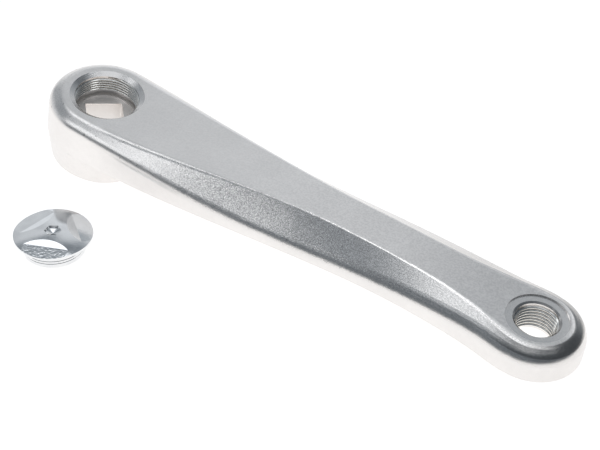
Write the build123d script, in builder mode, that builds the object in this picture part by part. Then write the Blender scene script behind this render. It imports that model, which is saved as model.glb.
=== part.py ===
from build123d import *
import math
import os

os.makedirs("parts", exist_ok=True)

# Bicycle crank arm for a square-taper spindle, lying on a bench beside its dust cap.
# The arm is drawn in its own frame: the spindle axis is Z, the inner face of the boss is Z = 0
# and the pedal axis stands at X = crank_length. It is laid on the bench at the end.

# Crank arm: overall sizes
crank_length = 170.0
boss_height = 26.3
dish = 14.0
level_from_pedal = 14.0

# Crank arm: outline, as half widths at the spindle end, the waist and the pedal end
spindle_end_radius = 19.3
waist_half_width = 15.5
pedal_end_radius = 16.6
waist_from_pedal = 20.0

# Crank arm: flat outer face, as lands round the two eyes and the half width at its waist
spindle_face_land = 2.8
flat_waist_half_width = 7.2
pedal_face_land = 1.5
flat_waist_from_pedal = 67.0

# Crank arm: bevels between the flat face and the side walls
spindle_bevel_drop = 2.5
deepest_bevel_drop = 8.4
pedal_bevel_drop = 2.9
deepest_bevel_from_spindle = 69.0

# Crank arm: thickness from the flat face to the underside
spindle_thickness = 14.3
waist_thickness = 11.5
pedal_thickness = 11.9
thinnest_from_pedal = 41.0

# Crank arm: how early each size leaves its value at one place for its value at the next
face_rise_bias = 0.8
flat_growth_bias = 2.5
thinning_bias = 1.7
sharpening_bias = 0.8
softening_bias = 1.6

# Crank arm: rounded and chamfered edges
spindle_ridge_rounding = 3.4
waist_ridge_rounding = 1.0
pedal_ridge_rounding = 4.0
spindle_shoulder_rounding = 3.8
waist_shoulder_rounding = 6.0
pedal_shoulder_rounding = 5.5
spindle_sole_chamfer = 0.1
sole_chamfer = 0.9
foot_chamfer = 2.0

# Crank arm: boss on the inner side, drafted towards its foot
boss_foot_radius = 17.4
boss_overlap = 4.0

# Crank arm: recess for the puller, with the spindle bolt's washer seat at its floor
puller_thread_radius = 11.0
puller_chamfer = 1.7
puller_chamfer_depth = 1.0
puller_thread_depth = 7.2
relief_depth = 0.5
relief_width = 1.0
seat_radius = 9.6
seat_depth = 9.3

# Crank arm: square hole for the spindle, its flats at 45 degrees to the arm
taper_width_at_seat = 12.6
taper_angle = 2.0
taper_corner_chamfer = 0.7
taper_turn = 45.0

# Crank arm: pedal thread, with a spot face for the pedal axle's shoulder
pedal_thread_radius = 7.14
pedal_chamfer = 0.45
spot_face_land = 3.16
spot_face_depth = 1.1

# Dust cap: a low domed head with three flats, on a hollow threaded ring
cap_thread_height = 0.55
cap_thread_clearance = 0.05
cap_ring_wall = 1.5
cap_ring_length = 5.6
cap_ring_chamfer = 0.4
cap_rim_overhang = 0.4
cap_rim_height = 0.9
cap_dome_rise = 1.3
cap_roof = 2.6
cap_flat_count = 3
cap_flat_from_axis = 5.0
cap_band_width = 2.8
cap_band_slope = 14.0
cap_facet_slope = 7.5
cap_key_width = 5.0
cap_key_depth = 0.9
cap_key_point_slope = 13.0
cap_key_turn = 36.0

# Dust cap: where it stands beside the arm, and which way its first flat looks
cap_from_spindle = 19.55
cap_gap = 15.3
cap_turn = -67.0

# Cuts start and end this far outside the solid
clear = 3.0

station_count = 21

# Sizes that follow from the ones above
puller_chamfer_radius = puller_thread_radius + puller_chamfer
relief_radius = puller_thread_radius + relief_depth
spindle_flat_radius = puller_chamfer_radius + spindle_face_land
spot_face_radius = pedal_thread_radius + spot_face_land
pedal_flat_radius = spot_face_radius + pedal_face_land
seat_height = boss_height - seat_depth
pedal_face_height = boss_height + dish
spot_face_height = pedal_face_height - spot_face_depth
pedal_sole_height = pedal_face_height - pedal_thickness
cap_ring_radius = puller_thread_radius - cap_thread_height - cap_thread_clearance
cap_head_radius = puller_chamfer_radius + cap_rim_overhang
cap_y = -(spindle_end_radius + cap_gap + cap_head_radius)
stations = [crank_length * step / (station_count - 1) for step in range(station_count)]


def ease(share):
    """Smooth step from 0 to 1, level at both ends."""
    return share * share * (3 - 2 * share)


def along(x, at_spindle, at_middle, at_pedal, middle, bias=1.0, late_bias=1.0):
    """Size at x that runs smoothly from the spindle end by way of a middle place to the pedal end."""
    if x <= middle:
        return at_spindle + (at_middle - at_spindle) * ease((x / middle) ** bias)
    share = (x - middle) / (crank_length - middle)
    return at_middle + (at_pedal - at_middle) * ease(share**late_bias)


def face_height(x):
    """Height of the flat outer face: it leaves the spindle level and is level again near the pedal."""
    crest = crank_length - level_from_pedal
    return boss_height + along(x, 0.0, dish, dish, crest, bias=face_rise_bias)


def flat_half_width(x):
    """Half width of the flat outer face, narrow at its waist like an hourglass."""
    waist = crank_length - flat_waist_from_pedal
    values = (spindle_flat_radius, flat_waist_half_width, pedal_flat_radius)
    return along(x, *values, waist, late_bias=flat_growth_bias)


def half_width(x):
    """Half width over the side walls."""
    waist = crank_length - waist_from_pedal
    return along(x, spindle_end_radius, waist_half_width, pedal_end_radius, waist)


def shoulder_height(x):
    """Height of the edge where the bevel meets the side wall."""
    drops = (spindle_bevel_drop, deepest_bevel_drop, pedal_bevel_drop)
    return face_height(x) - along(x, *drops, deepest_bevel_from_spindle)


def sole_height(x):
    """Height of the underside."""
    thinnest = crank_length - thinnest_from_pedal
    values = (spindle_thickness, waist_thickness, pedal_thickness)
    return face_height(x) - along(x, *values, thinnest, bias=thinning_bias)


def ridge_rounding(x):
    """Rounding of the edge between the flat face and the bevel, sharpest at the face's waist."""
    waist = crank_length - flat_waist_from_pedal
    values = (spindle_ridge_rounding, waist_ridge_rounding, pedal_ridge_rounding)
    return along(x, *values, waist, bias=sharpening_bias, late_bias=softening_bias)


def shoulder_rounding(x):
    """Rounding of the edge between the bevel and the side wall."""
    values = (spindle_shoulder_rounding, waist_shoulder_rounding, pedal_shoulder_rounding)
    return along(x, *values, deepest_bevel_from_spindle)


def half_section(x):
    """Corners of half a cross-section, from the flat face down to the underside."""
    thinnest = crank_length - thinnest_from_pedal
    cut = along(x, spindle_sole_chamfer, sole_chamfer, sole_chamfer, thinnest)
    return [
        (flat_half_width(x), face_height(x)),
        (half_width(x), shoulder_height(x)),
        (half_width(x), sole_height(x) + cut),
        (half_width(x) - cut, sole_height(x)),
    ]


with BuildPart() as crank_arm:
    # Arm between the two axes, lofted through its cross-sections
    for x in stations:
        with BuildSketch(Plane.YZ.offset(x)):
            with BuildLine():
                right = half_section(x)
                left = [(-y, z) for y, z in reversed(right)]
                half_radii = [ridge_rounding(x), shoulder_rounding(x), 0, 0]
                FilletPolyline(*right, *left, radius=half_radii + half_radii[::-1], close=True)
            make_face()
    loft()

    # Round end at the spindle, down to the foot of the boss
    boss_foot = [(boss_foot_radius, foot_chamfer), (boss_foot_radius - foot_chamfer, 0), (0, 0)]
    with BuildSketch(Plane.YZ):
        with BuildLine():
            profile = FilletPolyline(
                (0, boss_height),
                *half_section(0)[:2],
                (spindle_end_radius, sole_height(0)),
                *boss_foot,
                radius=[spindle_ridge_rounding, spindle_shoulder_rounding, 0, 0, 0],
            )
            Line(profile @ 1, profile @ 0)
        make_face()
    revolve(axis=Axis.Z, revolution_arc=180)

    # Other half of the boss, which runs up into the arm
    boss_top = sole_height(0) + boss_overlap
    with BuildSketch(Plane.YZ):
        with BuildLine():
            Polyline(
                (0, boss_top),
                (boss_foot_radius, boss_top),
                (spindle_end_radius, sole_height(0)),
                *boss_foot,
                close=True,
            )
        make_face()
    revolve(axis=Axis.Z, revolution_arc=-180)

    # Round end at the pedal
    pedal_axis = Axis((crank_length, 0, 0), (0, 0, 1))
    with BuildSketch(Plane.YZ.offset(crank_length)):
        with BuildLine():
            profile = FilletPolyline(
                (0, pedal_face_height),
                *half_section(crank_length),
                (0, pedal_sole_height),
                radius=[pedal_ridge_rounding, pedal_shoulder_rounding, 0, 0],
            )
            Line(profile @ 1, profile @ 0)
        make_face()
    revolve(axis=pedal_axis, revolution_arc=-180)

    # Puller recess: chamfer, thread, relief groove and washer seat
    with BuildSketch(Plane.XZ):
        with BuildLine():
            thread_end = boss_height - puller_thread_depth
            relief_end = thread_end - relief_width
            Polyline(
                (0, boss_height + clear),
                (puller_chamfer_radius, boss_height + clear),
                (puller_chamfer_radius, boss_height),
                (puller_thread_radius, boss_height - puller_chamfer_depth),
                (puller_thread_radius, thread_end),
                (relief_radius, thread_end),
                (relief_radius, relief_end),
                (seat_radius, relief_end),
                (seat_radius, seat_height),
                (0, seat_height),
                close=True,
            )
        make_face()
    revolve(axis=Axis.Z, mode=Mode.SUBTRACT)

    # Square hole, wider at the inner face
    taper_growth = math.tan(math.radians(taper_angle))
    mouth_width = taper_width_at_seat + 2 * seat_height * taper_growth
    with BuildSketch(Plane.XY):
        mouth = Rectangle(mouth_width, mouth_width, rotation=taper_turn)
        chamfer(mouth.vertices(), taper_corner_chamfer)
    extrude(amount=seat_height, taper=taper_angle, mode=Mode.SUBTRACT)

    # Pedal thread with its spot face, chamfered at both ends
    with BuildSketch(Plane.XZ):
        with BuildLine():
            Polyline(
                (crank_length, pedal_face_height + clear),
                (crank_length + spot_face_radius, pedal_face_height + clear),
                (crank_length + spot_face_radius, spot_face_height),
                (crank_length + pedal_thread_radius + pedal_chamfer, spot_face_height),
                (crank_length + pedal_thread_radius, spot_face_height - pedal_chamfer),
                (crank_length + pedal_thread_radius, pedal_sole_height + pedal_chamfer),
                (crank_length + pedal_thread_radius + pedal_chamfer, pedal_sole_height),
                (crank_length + pedal_thread_radius + pedal_chamfer, pedal_sole_height - clear),
                (crank_length, pedal_sole_height - clear),
                close=True,
            )
        make_face()
    revolve(axis=pedal_axis, mode=Mode.SUBTRACT)

# The arm lies on two edges: where the boss's inner face meets its chamfer, and where the
# underside meets its chamfer at the tip of the pedal end.
foot_edge_x = boss_foot_radius - foot_chamfer
tip_edge_x = crank_length + pedal_end_radius - sole_chamfer
tilt = math.atan2(pedal_sole_height, tip_edge_x - foot_edge_x)
bench_height = -foot_edge_x * math.sin(tilt)

crank_arm.part.locate(Location((0, 0, 0), (0, math.degrees(tilt), 0)))
crank_arm.part.label = "crank_arm"
export_step(crank_arm.part, "parts/crank_arm.step")

cap_rim_top = cap_ring_length + cap_rim_height
cap_top = cap_rim_top + cap_dome_rise
dome_radius = (cap_head_radius**2 + cap_dome_rise**2) / (2 * cap_dome_rise)
flat_edge_drop = dome_radius - math.sqrt(dome_radius**2 - cap_flat_from_axis**2)
band_fall = math.tan(math.radians(cap_band_slope))
facet_fall = math.tan(math.radians(cap_facet_slope))
band_end = cap_flat_from_axis + cap_band_width
band_end_drop = flat_edge_drop + cap_band_width * band_fall
facet_end = cap_head_radius + clear

with BuildPart() as dust_cap:
    # Head and ring turned in one piece
    with BuildSketch(Plane.XZ):
        with BuildLine():
            Polyline(
                (0, cap_top),
                (0, cap_top - cap_roof),
                (cap_ring_radius - cap_ring_wall, cap_top - cap_roof),
                (cap_ring_radius - cap_ring_wall, 0),
                (cap_ring_radius - cap_ring_chamfer, 0),
                (cap_ring_radius, cap_ring_chamfer),
                (cap_ring_radius, cap_ring_length),
                (cap_head_radius, cap_ring_length),
                (cap_head_radius, cap_top),
                close=True,
            )
        make_face()
    revolve(axis=Axis.Z)

    # Dome: the head is kept inside a large ball that passes through the top and the rim
    with Locations((0, 0, cap_top - dome_radius)):
        Sphere(dome_radius, rotation=(90, 0, 0), mode=Mode.INTERSECT)

    # Flats cut across the dome: a band beside the dome, then a gentler facet out to the rim
    for number in range(cap_flat_count):
        turn = math.radians(cap_turn + 360 * number / cap_flat_count)
        outward = (math.cos(turn), math.sin(turn), 0)
        sideways = (math.sin(turn), -math.cos(turn), 0)
        with BuildSketch(Plane((0, 0, cap_top), x_dir=outward, z_dir=sideways)):
            with BuildLine():
                Polyline(
                    (cap_flat_from_axis - clear, clear),
                    (cap_flat_from_axis - clear, clear * band_fall - flat_edge_drop),
                    (band_end, -band_end_drop),
                    (facet_end, -band_end_drop - (facet_end - band_end) * facet_fall),
                    (facet_end, clear),
                    close=True,
                )
            make_face()
        extrude(amount=cap_head_radius, both=True, mode=Mode.SUBTRACT)

    # Hexagon socket with a shallow pointed floor
    with BuildSketch(Plane.XY.offset(cap_top)):
        RegularPolygon(cap_key_width / 2, 6, major_radius=False, rotation=cap_key_turn)
    extrude(amount=-cap_key_depth, mode=Mode.SUBTRACT)
    with Locations((0, 0, cap_top - cap_key_depth)):
        Cone(
            0,
            cap_key_width / 2,
            cap_key_width / 2 * math.tan(math.radians(cap_key_point_slope)),
            align=(Align.CENTER, Align.CENTER, Align.MAX),
            mode=Mode.SUBTRACT,
        )

dust_cap.part.locate(Location((cap_from_spindle, cap_y, bench_height)))
dust_cap.part.label = "dust_cap"
export_step(dust_cap.part, "parts/dust_cap.step")
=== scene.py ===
"""A bicycle crank arm lying on a white bench with its dust cap beside it."""
import math
from collections import namedtuple

import bmesh
import bpy
from mathutils import Matrix


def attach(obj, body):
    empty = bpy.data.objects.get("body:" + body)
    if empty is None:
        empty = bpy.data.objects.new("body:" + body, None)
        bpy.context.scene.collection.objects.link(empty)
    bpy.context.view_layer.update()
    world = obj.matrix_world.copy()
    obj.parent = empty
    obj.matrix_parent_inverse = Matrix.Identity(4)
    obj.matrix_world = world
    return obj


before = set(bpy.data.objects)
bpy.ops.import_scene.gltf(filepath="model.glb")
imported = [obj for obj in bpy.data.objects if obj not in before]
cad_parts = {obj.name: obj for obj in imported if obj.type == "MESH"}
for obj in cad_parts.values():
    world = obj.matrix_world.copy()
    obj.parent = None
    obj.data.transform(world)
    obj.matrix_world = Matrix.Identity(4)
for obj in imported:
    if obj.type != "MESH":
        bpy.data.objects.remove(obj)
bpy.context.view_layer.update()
scene = bpy.context.scene
scene.view_settings.view_transform = "Standard"

MM = 0.001

# Sizes shared with the solids, in millimetres and degrees.
CRANK_LENGTH = 170.0
TILT = 9.467778
BENCH = -2.533191
RECESS_RADIUS = 12.7
SPOT_RADIUS = 10.3
CAP_X = 19.55
CAP_Y = -47.7
CAP_TURN = -67.0
CAP_FACET_SLOPE = 7.5

# Threads by root and crest radius, lower and upper end and pitch, in millimetres.
Thread = namedtuple("Thread", "root crest bottom top pitch")
PULLER_THREAD = Thread(root=11.0, crest=10.46, bottom=19.1, top=25.3, pitch=1.0)
PEDAL_THREAD = Thread(root=7.14, crest=6.5, bottom=28.85, top=39.3, pitch=1.27)
CAP_THREAD = Thread(root=10.4, crest=10.52, bottom=0.4, top=5.55, pitch=1.0)

# The ring on the spot face's floor, in millimetres of radius and height.
LAND_OUTER = 10.33
LAND_INNER = 7.17
LAND_TOP = 39.82
LAND_CHAMFER_RADIUS = 7.8
LAND_CHAMFER_FOOT = 39.3
LAND_OUTLINE = (
    (LAND_OUTER, 39.1), (LAND_OUTER, LAND_TOP), (LAND_CHAMFER_RADIUS, LAND_TOP),
    (LAND_INNER, LAND_CHAMFER_FOOT), (LAND_INNER, 38.7), (7.7, 38.9),
)

# The camera, in metres, degrees and millimetres of lens.
VIEW_PLACE = (0.416901, -0.459942, 0.448712)
VIEW_PITCH = 52.0983
VIEW_TURN = 35.8481
VIEW_LENS = 132.338
VIEW_SENSOR = 36.0

ARM_TO_ROW = Matrix.Rotation(math.radians(TILT), 4, "Y")
ARM_UP = ARM_TO_ROW.to_3x3().col[2]
PEDAL_TO_ROW = ARM_TO_ROW @ Matrix.Translation((CRANK_LENGTH * MM, 0.0, 0.0))
CAP_TO_ROW = Matrix.Translation((CAP_X * MM, CAP_Y * MM, BENCH * MM))

WHITE = (1.0, 1.0, 1.0, 1.0)


# Node helpers.
class Graph:
    """Makes shader nodes with few words."""

    def __init__(self, tree):
        self.tree = tree
        tree.nodes.clear()

    def add(self, kind, **settings):
        node = self.tree.nodes.new(kind)
        for key, value in settings.items():
            setattr(node, key, value)
        return node

    def put(self, value, socket):
        if isinstance(value, bpy.types.NodeSocket):
            self.tree.links.new(value, socket)
        elif value is not None:
            socket.default_value = value

    def math(self, operation, a, b=None):
        node = self.add("ShaderNodeMath", operation=operation)
        for value, socket in zip((a, b), node.inputs):
            self.put(value, socket)
        return node.outputs[0]

    def plus(self, a, b):
        return self.math("ADD", a, b)

    def minus(self, a, b):
        return self.math("SUBTRACT", a, b)

    def times(self, first, *others):
        for other in others:
            first = self.math("MULTIPLY", first, other)
        return first

    def absolute(self, value):
        return self.math("ABSOLUTE", value)

    def larger(self, a, b):
        return self.math("MAXIMUM", a, b)

    def distance(self, east, north):
        return self.math("SQRT", self.plus(self.times(east, east), self.times(north, north)))

    def ramp(self, value, low, high, to_low=0.0, to_high=1.0):
        node = self.add("ShaderNodeMapRange", interpolation_type="SMOOTHSTEP")
        for item, socket in zip((value, low, high, to_low, to_high), node.inputs):
            self.put(item, socket)
        return node.outputs[0]

    def fall(self, value, low, high):
        return self.ramp(value, low, high, 1.0, 0.0)

    def spread(self, value, low, high, middle, reach):
        """From the middle less the reach to the middle plus the reach."""
        return self.ramp(value, low, high, self.minus(middle, reach), self.plus(middle, reach))

    def window(self, value, low, high, soft):
        rise = self.ramp(value, low - soft, low + soft)
        return self.times(rise, self.fall(value, high - soft, high + soft))

    def mix(self, factor, a, b):
        node = self.add("ShaderNodeMix", data_type="FLOAT")
        self.put(factor, node.inputs[0])
        self.put(a, node.inputs[2])
        self.put(b, node.inputs[3])
        return node.outputs[0]

    def tint(self, factor, a, b):
        node = self.add("ShaderNodeMix", data_type="RGBA")
        self.put(factor, node.inputs[0])
        self.put(a, node.inputs[6])
        self.put(b, node.inputs[7])
        return node.outputs[2]

    def scaled(self, vector, factor):
        node = self.add("ShaderNodeVectorMath", operation="SCALE")
        self.put(vector, node.inputs[0])
        self.put(factor, node.inputs["Scale"])
        return node.outputs[0]

    def dot(self, vector, fixed):
        node = self.add("ShaderNodeVectorMath", operation="DOT_PRODUCT")
        self.put(vector, node.inputs[0])
        self.put(fixed, node.inputs[1])
        return node.outputs["Value"]

    def split(self, vector):
        node = self.add("ShaderNodeSeparateXYZ")
        self.put(vector, node.inputs[0])
        return node.outputs

    def noise(self, vector, scale, detail, rough=0.5):
        node = self.add("ShaderNodeTexNoise")
        self.put(vector, node.inputs["Vector"])
        self.put(scale, node.inputs["Scale"])
        self.put(detail, node.inputs["Detail"])
        self.put(rough, node.inputs["Roughness"])
        return node.outputs[0]

    def bump(self, height, distance, strength):
        node = self.add("ShaderNodeBump")
        self.put(height, node.inputs["Height"])
        self.put(strength, node.inputs["Strength"])
        self.put(distance, node.inputs["Distance"])
        return node.outputs[0]


def new_metal(name):
    material = bpy.data.materials.new(name)
    material.use_nodes = True
    graph = Graph(material.node_tree)
    shader = graph.add("ShaderNodeBsdfPrincipled")
    out = graph.add("ShaderNodeOutputMaterial")
    graph.put(shader.outputs[0], out.inputs[0])
    graph.put(1.0, shader.inputs["Metallic"])
    return material, graph, shader


ArmPlace = namedtuple("ArmPlace", "normal spot x y z from_spindle from_pedal")


def arm_place(graph):
    """Position in the arm's own frame, in millimetres, and distances from its two axes."""
    place = graph.add("ShaderNodeTexCoord")
    turn = graph.add("ShaderNodeMapping", vector_type="POINT")
    graph.put(place.outputs["Object"], turn.inputs["Vector"])
    turn.inputs["Rotation"].default_value = (0.0, -math.radians(TILT), 0.0)
    turn.inputs["Scale"].default_value = (1.0 / MM, 1.0 / MM, 1.0 / MM)
    spot = turn.outputs[0]
    x, y, z = graph.split(spot)
    from_spindle = graph.distance(x, y)
    from_pedal = graph.distance(graph.minus(x, CRANK_LENGTH), y)
    return ArmPlace(place.outputs["Normal"], spot, x, y, z, from_spindle, from_pedal)


# Blasted alloy of the arm, machined in its two eyes.
def alloy():
    material, g, shader = new_metal("blasted_alloy")
    at = arm_place(g)
    x, y, z, spot = at.x, at.y, at.z, at.spot

    # Parts of the surface: the outer face, the upright walls and the turned eyes.
    level = g.dot(at.normal, ARM_UP)
    face = g.ramp(level, 0.955, 0.985)
    wall = g.fall(g.absolute(level), 0.12, 0.4)
    recess = g.fall(at.from_spindle, RECESS_RADIUS - 0.05, RECESS_RADIUS + 0.05)
    recess = g.times(recess, g.ramp(z, 16.0, 16.6))
    eye = g.fall(at.from_pedal, SPOT_RADIUS - 0.05, SPOT_RADIUS + 0.05)
    machined = g.larger(recess, eye)
    seat = g.times(recess, face, g.fall(z, 20.0, 21.0))
    # Painted shade: a strip along the far edge, from mid-arm to the pedal end, is darkened in colour to
    # dim its bright reflection.
    far_edge_painted_shade = g.times(g.ramp(y, 4.0, 9.0), g.ramp(x, 75.0, 115.0), g.fall(x, 150.0, 172.0))
    far_edge_painted_shade = g.times(far_edge_painted_shade, g.fall(level, 0.9, 0.96))
    # Painted shade: the pedal end's rounded sides and tip, picked out by which way they face, are
    # darkened in colour to dim their highlight.
    pedal_side_painted_shade = g.times(g.ramp(x, 157.0, 172.0), g.window(level, 0.66, 0.89, 0.03))
    pedal_tip_painted_shade = g.times(g.ramp(x, 168.0, 180.0), g.window(level, 0.66, 0.965, 0.02))

    # Grain sizes, per millimetre.
    grit = g.noise(spot, 4.2, 1.0, 0.6)
    speck = g.noise(spot, 3.2, 0.0)
    grain = g.noise(spot, 1.5, 2.0, 0.6)
    pitting = g.noise(spot, 1.1, 0.0)
    blotch = g.noise(spot, 0.55, 3.0, 0.55)
    cloud = g.noise(spot, 0.06, 3.0, 0.5)
    turned = g.math("SINE", g.times(g.plus(g.math("MINIMUM", at.from_spindle, at.from_pedal), z), 26.0))

    # The near bevel is blasted most, between the spindle and the pedal end.
    blasted = g.times(g.ramp(x, 18.0, 54.0, 0.25, 1.0), g.ramp(x, 120.0, 150.0, 1.0, 0.66))
    blasted = g.times(blasted, g.ramp(y, -4.0, 2.0, 1.0, 0.35))
    coarse = g.mix(wall, g.mix(blasted, 0.4, 1.0), 0.35)
    coarse = g.mix(face, coarse, g.ramp(x, 40.0, 100.0, 0.2, 0.36))
    coarse = g.mix(machined, coarse, 0.15)
    height = g.times(g.plus(grit, g.times(blotch, 0.12)), coarse)
    height = g.plus(height, g.times(turned, machined, 0.03))
    g.put(g.bump(height, 0.035 * MM, 0.8), shader.inputs["Normal"])

    rough = g.mix(wall, g.ramp(x, 25.0, 70.0, 0.29, 0.24), 0.32)
    rough = g.mix(face, rough, 0.33)
    rough = g.mix(machined, rough, 0.24)
    rough = g.mix(seat, rough, 0.55)
    rough = g.plus(rough, g.times(g.minus(blotch, 0.5), 0.08))
    g.put(rough, shader.inputs["Roughness"])

    # Bright and dark grains on the bevels, fewer on the face and none on what is turned.
    bevel = g.times(g.ramp(level, 0.5, 0.68), blasted)
    bevel_grains = g.spread(speck, 0.36, 0.64, 0.92, g.ramp(x, 58.0, 88.0, 0.22, 0.17))
    grains = g.mix(bevel, g.ramp(speck, 0.36, 0.64, 0.89, 0.97), bevel_grains)
    pits = g.times(g.ramp(pitting, 0.76, 0.81), g.fall(x, 120.0, 145.0))
    grains = g.times(grains, g.mix(pits, 1.0, 0.62))
    face_grains = g.spread(grain, 0.35, 0.65, 0.995, g.ramp(x, 40.0, 100.0, 0.03, 0.075))
    tone = g.mix(face, grains, face_grains)
    tone = g.mix(g.larger(wall, machined), tone, 1.0)
    # Painted shade on the far edge strip.
    tone = g.mix(far_edge_painted_shade, tone, 0.8)
    # Painted shade on the pedal end's rounded sides and tip.
    tone = g.mix(g.larger(pedal_side_painted_shade, pedal_tip_painted_shade), tone, g.times(tone, 0.55))

    mottle = g.ramp(g.plus(g.times(cloud, 0.6), g.times(blotch, 0.4)), 0.3, 0.7)
    colour = g.tint(mottle, (0.84, 0.81, 0.788, 1.0), (0.90, 0.868, 0.844, 1.0))
    g.put(g.scaled(colour, tone), shader.inputs["Base Color"])
    return material


# Cut threads, bright on their crests, with painted shade making them dark at their roots.
def thread_alloy():
    material, g, shader = new_metal("cut_thread")
    at = arm_place(g)
    fine = g.noise(at.spot, 3.0, 2.0, 0.6)
    root_shade_and_tint_patches = g.noise(at.spot, 0.5, 3.0, 0.6)
    g.put(g.bump(fine, 0.02 * MM, 0.6), shader.inputs["Normal"])
    g.put(g.ramp(fine, 0.2, 0.8, 0.14, 0.26), shader.inputs["Roughness"])
    puller_root = g.ramp(at.from_spindle, PULLER_THREAD.root - 0.4, PULLER_THREAD.root - 0.05)
    pedal_root = g.ramp(at.from_pedal, PEDAL_THREAD.root - 0.42, PEDAL_THREAD.root - 0.06)
    middle = CRANK_LENGTH / 2.0
    root = g.mix(g.ramp(at.x, middle - 0.5, middle + 0.5), puller_root, pedal_root)
    # Painted shade in the thread roots, deeper or lighter in patches; the same noise also varies the
    # tint.
    tone = g.mix(root, 1.0, g.ramp(root_shade_and_tint_patches, 0.3, 0.7, 0.4, 0.62))
    colour = g.tint(g.ramp(root_shade_and_tint_patches, 0.35, 0.7), (0.92, 0.895, 0.855, 1.0), (0.98, 0.96, 0.925, 1.0))
    g.put(g.scaled(colour, tone), shader.inputs["Base Color"])
    return material


# Polished plating of the cap, dented on the flat that faces the front.
def plating():
    material, g, shader = new_metal("cap_plating")
    place = g.add("ShaderNodeTexCoord")
    spot = place.outputs["Object"]
    peel = g.noise(spot, 1600.0, 2.0, 0.5)
    haze = g.ramp(g.noise(spot, 220.0, 3.0, 0.55), 0.3, 0.7, 0.0, 1.0)
    x, y, _ = g.split(spot)
    turn = math.radians(CAP_TURN)
    lean = math.radians(CAP_FACET_SLOPE)
    east = g.times(g.minus(x, CAP_X * MM), math.cos(turn))
    north = g.times(g.minus(y, CAP_Y * MM), math.sin(turn))
    out_along = g.ramp(g.plus(east, north), 7.75 * MM, 7.9 * MM)
    flat_up = (math.sin(lean) * math.cos(turn), math.sin(lean) * math.sin(turn), math.cos(lean))
    on_flat = g.ramp(g.dot(place.outputs["Normal"], flat_up), 0.9994, 0.9998)
    dents = g.times(g.noise(spot, 1000.0, 1.0, 0.5), g.times(out_along, on_flat))
    g.put(g.bump(g.plus(g.times(peel, 0.09), dents), 0.1 * MM, 0.8), shader.inputs["Normal"])
    g.put(g.mix(haze, 0.09, 0.17), shader.inputs["Roughness"])
    colour = g.tint(haze, (0.82, 0.82, 0.825, 1.0), (0.88, 0.88, 0.88, 1.0))
    g.put(colour, shader.inputs["Base Color"])
    return material


arm_material = alloy()
thread_material = thread_alloy()
cap_material = plating()
for node_name, material in (("crank_arm", arm_material), ("dust_cap", cap_material)):
    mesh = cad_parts[node_name].data
    mesh.materials.clear()
    mesh.materials.append(material)


# Turned pieces: a row of points at each angle, joined row to row.
def add_row(body, outline, angle):
    """Points of that outline of radius and height, in millimetres."""
    east, north = math.cos(angle), math.sin(angle)
    return [body.verts.new((r * east * MM, r * north * MM, z * MM)) for r, z in outline]


def join_rows(body, low, high):
    for k in range(len(low)):
        n = (k + 1) % len(low)
        body.faces.new((low[k], low[n], high[n], high[k]))


def add_piece(name, body, sharp_angle, to_row, material):
    """A closed mesh that rides with the part, with edges over that angle left sharp."""
    bmesh.ops.recalc_face_normals(body, faces=body.faces)
    body.transform(to_row)
    mesh = bpy.data.meshes.new(name)
    body.to_mesh(mesh)
    body.free()
    for polygon in mesh.polygons:
        polygon.use_smooth = True
    mesh.set_sharp_from_angle(angle=math.radians(sharp_angle))
    mesh.materials.append(material)
    piece = bpy.data.objects.new(name, mesh)
    scene.collection.objects.link(piece)
    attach(piece, "root")


def thread_ridge(name, size, to_row, material, left_hand=False):
    """A ridge that winds on a wall of the root radius and reaches to the crest radius."""
    steps = 96
    run_out_steps = 10.0
    root_half = size.pitch * 0.42
    crest_half = size.pitch * 0.12
    sunk = size.root + (0.06 if size.crest < size.root else -0.06)
    turns = (size.top - size.bottom - 2.0 * root_half) / size.pitch
    count = int(turns * steps)
    sign = -1.0 if left_hand else 1.0
    body = bmesh.new()
    rows = []
    for i in range(count + 1):
        middle = size.bottom + root_half + size.pitch * i / steps
        run_out = min(1.0, i / run_out_steps, (count - i) / run_out_steps)
        height = (size.crest - size.root) * max(run_out, 0.02)
        crest = size.root + height
        flank = size.root + height * 0.86
        outline = (
            (sunk, middle - root_half),
            (flank, middle - crest_half * 1.5),
            (crest, middle - crest_half * 0.7),
            (crest, middle + crest_half * 0.7),
            (flank, middle + crest_half * 1.5),
            (sunk, middle + root_half),
        )
        rows.append(add_row(body, outline, sign * 2.0 * math.pi * i / steps))
    for low, high in zip(rows, rows[1:]):
        join_rows(body, low, high)
    body.faces.new(rows[0])
    body.faces.new(list(reversed(rows[-1])))
    add_piece(name, body, 40.0, to_row, material)


def turned_ring(name, outline, to_row, material):
    """A closed ring with that outline of radius and height, in millimetres."""
    steps = 128
    body = bmesh.new()
    rows = [add_row(body, outline, 2.0 * math.pi * i / steps) for i in range(steps)]
    for i in range(steps):
        join_rows(body, rows[i], rows[(i + 1) % steps])
    add_piece(name, body, 25.0, to_row, material)


thread_ridge("puller_thread_ridge", PULLER_THREAD, ARM_TO_ROW, thread_material)
thread_ridge("pedal_thread_ridge", PEDAL_THREAD, PEDAL_TO_ROW, thread_material, left_hand=True)
turned_ring("pedal_spot_land", LAND_OUTLINE, PEDAL_TO_ROW, arm_material)
thread_ridge("cap_thread_ridge", CAP_THREAD, CAP_TO_ROW, cap_material)


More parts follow.
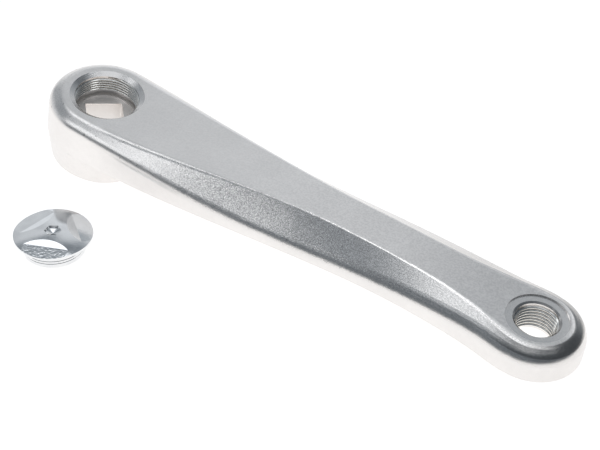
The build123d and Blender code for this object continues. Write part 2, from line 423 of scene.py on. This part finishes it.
# White bench.
def bench():
    body = bmesh.new()
    bmesh.ops.create_circle(body, cap_ends=True, segments=96, radius=4.0)
    mesh = bpy.data.meshes.new("bench")
    body.to_mesh(mesh)
    body.free()
    floor = bpy.data.objects.new("bench", mesh)
    floor.location = (0.09, 0.0, (BENCH - 0.05) * MM)
    scene.collection.objects.link(floor)
    material = bpy.data.materials.new("bench_white")
    material.use_nodes = True
    g = Graph(material.node_tree)
    out = g.add("ShaderNodeOutputMaterial")
    path = g.add("ShaderNodeLightPath")
    seen = g.larger(path.outputs["Is Camera Ray"], path.outputs["Is Glossy Ray"])
    seen = g.larger(seen, path.outputs["Is Transmission Ray"])
    matte = g.add("ShaderNodeBsdfDiffuse")
    g.put((0.35, 0.35, 0.35, 1.0), matte.inputs["Color"])
    glow = g.add("ShaderNodeEmission")
    g.put(WHITE, glow.inputs["Color"])
    g.put(g.times(seen, 0.9), glow.inputs["Strength"])
    both = g.add("ShaderNodeAddShader")
    g.put(matte.outputs[0], both.inputs[0])
    g.put(glow.outputs[0], both.inputs[1])
    g.put(both.outputs[0], out.inputs[0])
    mesh.materials.append(material)


# Studio surroundings: brightness by direction, in degrees to the right of straight behind the object
# and degrees above the bench.
def surroundings():
    world = bpy.data.worlds.new("studio")
    scene.world = world
    world.use_nodes = True
    g = Graph(world.node_tree)
    out = g.add("ShaderNodeOutputWorld")
    place = g.add("ShaderNodeTexCoord")
    turn = g.add("ShaderNodeVectorRotate", rotation_type="Z_AXIS")
    g.put(place.outputs["Generated"], turn.inputs["Vector"])
    g.put(-math.radians(VIEW_TURN), turn.inputs["Angle"])
    east, north, up = g.split(turn.outputs[0])
    degrees = 180.0 / math.pi
    azimuth = g.times(g.math("ARCTAN2", east, north), degrees)
    height = g.times(g.math("ARCSINE", up), degrees)

    # The room, darker to the right and in front.
    light = g.mix(g.ramp(g.absolute(azimuth), 35.0, 75.0), 0.40, 0.33)
    light = g.mix(g.window(azimuth, 58.0, 181.0, 12.0), light, 0.13)
    light = g.mix(g.ramp(g.absolute(azimuth), 124.0, 142.0), light, 0.14)

    # The left side: dark low down in front, bright low down beside the object, dim above.
    low_left = g.times(g.fall(azimuth, -112.0, -95.0), g.fall(height, 28.0, 38.0))
    light = g.mix(low_left, light, 0.185)
    left = g.times(g.window(azimuth, -98.0, -42.0, 5.0), g.fall(height, 12.0, 38.0))
    light = g.mix(left, light, 0.78)
    side = g.times(g.window(azimuth, -135.0, -92.0, 6.0), g.ramp(height, 30.0, 40.0))
    side_light = g.mix(g.ramp(height, 46.0, 53.0), g.ramp(height, 38.5, 41.5, 0.31, 0.12), 0.23)
    light = g.mix(side, light, side_light)

    # The wall behind, brightest low down in the middle, with a dark gap above it.
    behind = g.window(azimuth, -28.0, 36.0, 8.0)
    wall = g.mix(g.ramp(azimuth, 10.0, 27.0), 0.74, 0.43)
    light = g.mix(g.times(behind, g.window(height, 34.0, 50.0, 4.0)), light, wall)
    low_wall = g.mix(g.ramp(azimuth, -13.0, 0.0), g.ramp(height, 16.0, 22.0, 0.84, 0.64), 1.0)
    low_wall = g.mix(g.ramp(azimuth, 10.0, 22.0), low_wall, 0.58)
    light = g.mix(g.times(behind, g.fall(height, 30.0, 38.0)), light, low_wall)
    notch = g.times(g.window(azimuth, -0.5, 7.5, 2.0), g.window(height, 31.0, 35.5, 1.5))
    light = g.mix(notch, light, 0.42)
    low = g.window(azimuth, -34.0, -6.0, 5.0)
    gap = g.mix(low, g.window(height, 48.0, 75.0, 3.0), g.window(height, 42.0, 75.0, 3.0))
    light = g.mix(gap, light, g.mix(low, 0.27, g.ramp(height, 47.5, 50.5, 0.2, 0.42)))

    # The ceiling, and the bench's own white below the horizon.
    above = g.mix(g.window(azimuth, -136.0, -73.0, 7.0), 0.85, 0.36)
    light = g.mix(g.ramp(height, 57.0, 65.0), light, above)
    light = g.mix(g.fall(height, -2.0, 1.0), light, 1.0)

    seen = g.add("ShaderNodeLightPath").outputs["Is Camera Ray"]
    back = g.add("ShaderNodeBackground")
    colour = g.tint(g.ramp(light, 0.1, 0.7), (0.78, 0.89, 1.0, 1.0), (0.91, 0.955, 1.0, 1.0))
    g.put(g.tint(seen, colour, WHITE), back.inputs["Color"])
    g.put(g.larger(light, seen), back.inputs["Strength"])
    g.put(back.outputs[0], out.inputs[0])


bench()
surroundings()


# Lamps near the object, placed by how far they lie to the right of it, behind it and above it.
def panel(name, place, size, brightness, turn=0.0, lean=0.0):
    """A soft panel whose face shows about that brightness."""
    lamp = bpy.data.lights.new(name, "AREA")
    lamp.shape = "RECTANGLE"
    lamp.color = (0.95, 0.975, 1.0)
    lamp.size, lamp.size_y = (side * MM for side in size)
    lamp.energy = brightness * math.pi * lamp.size * lamp.size_y
    piece = bpy.data.objects.new(name, lamp)
    view = Matrix.Rotation(math.radians(VIEW_TURN), 4, "Z")
    shift = Matrix.Translation([distance * MM for distance in place])
    turned = Matrix.Rotation(math.radians(turn), 4, "Z") @ Matrix.Rotation(math.radians(lean), 4, "X")
    piece.matrix_world = view @ shift @ turned
    piece.visible_camera = False
    scene.collection.objects.link(piece)


panel("soft_box", (165.3, -124.5, 180.0), (256.0, 42.0), 0.78, turn=-14.0)
panel("ridge_box", (91.0, -40.0, 120.0), (80.0, 30.0), 1.5, turn=-31.7)
panel("low_box", (26.0, -138.0, 180.0), (32.0, 26.0), 0.7)
panel("spindle_box", (-32.5, 23.5, 180.0), (85.0, 57.0), 0.8)
panel("left_panel", (-96.5, -74.6, 126.0), (90.0, 84.0), 1.13, turn=-63.0, lean=50.0)
panel("right_panel", (225.0, -23.0, 92.0), (58.0, 40.0), 0.8, turn=127.0, lean=56.0)

# Camera.
camera = bpy.data.cameras.new("view")
camera.sensor_fit = "HORIZONTAL"
camera.sensor_width = VIEW_SENSOR
camera.lens = VIEW_LENS
camera.clip_start = 0.01
camera.clip_end = 20.0
camera_object = bpy.data.objects.new("view", camera)
camera_object.location = VIEW_PLACE
camera_object.rotation_euler = (math.radians(VIEW_PITCH), 0.0, math.radians(VIEW_TURN))
scene.collection.objects.link(camera_object)
scene.camera = camera_object

bpy.context.view_layer.update()
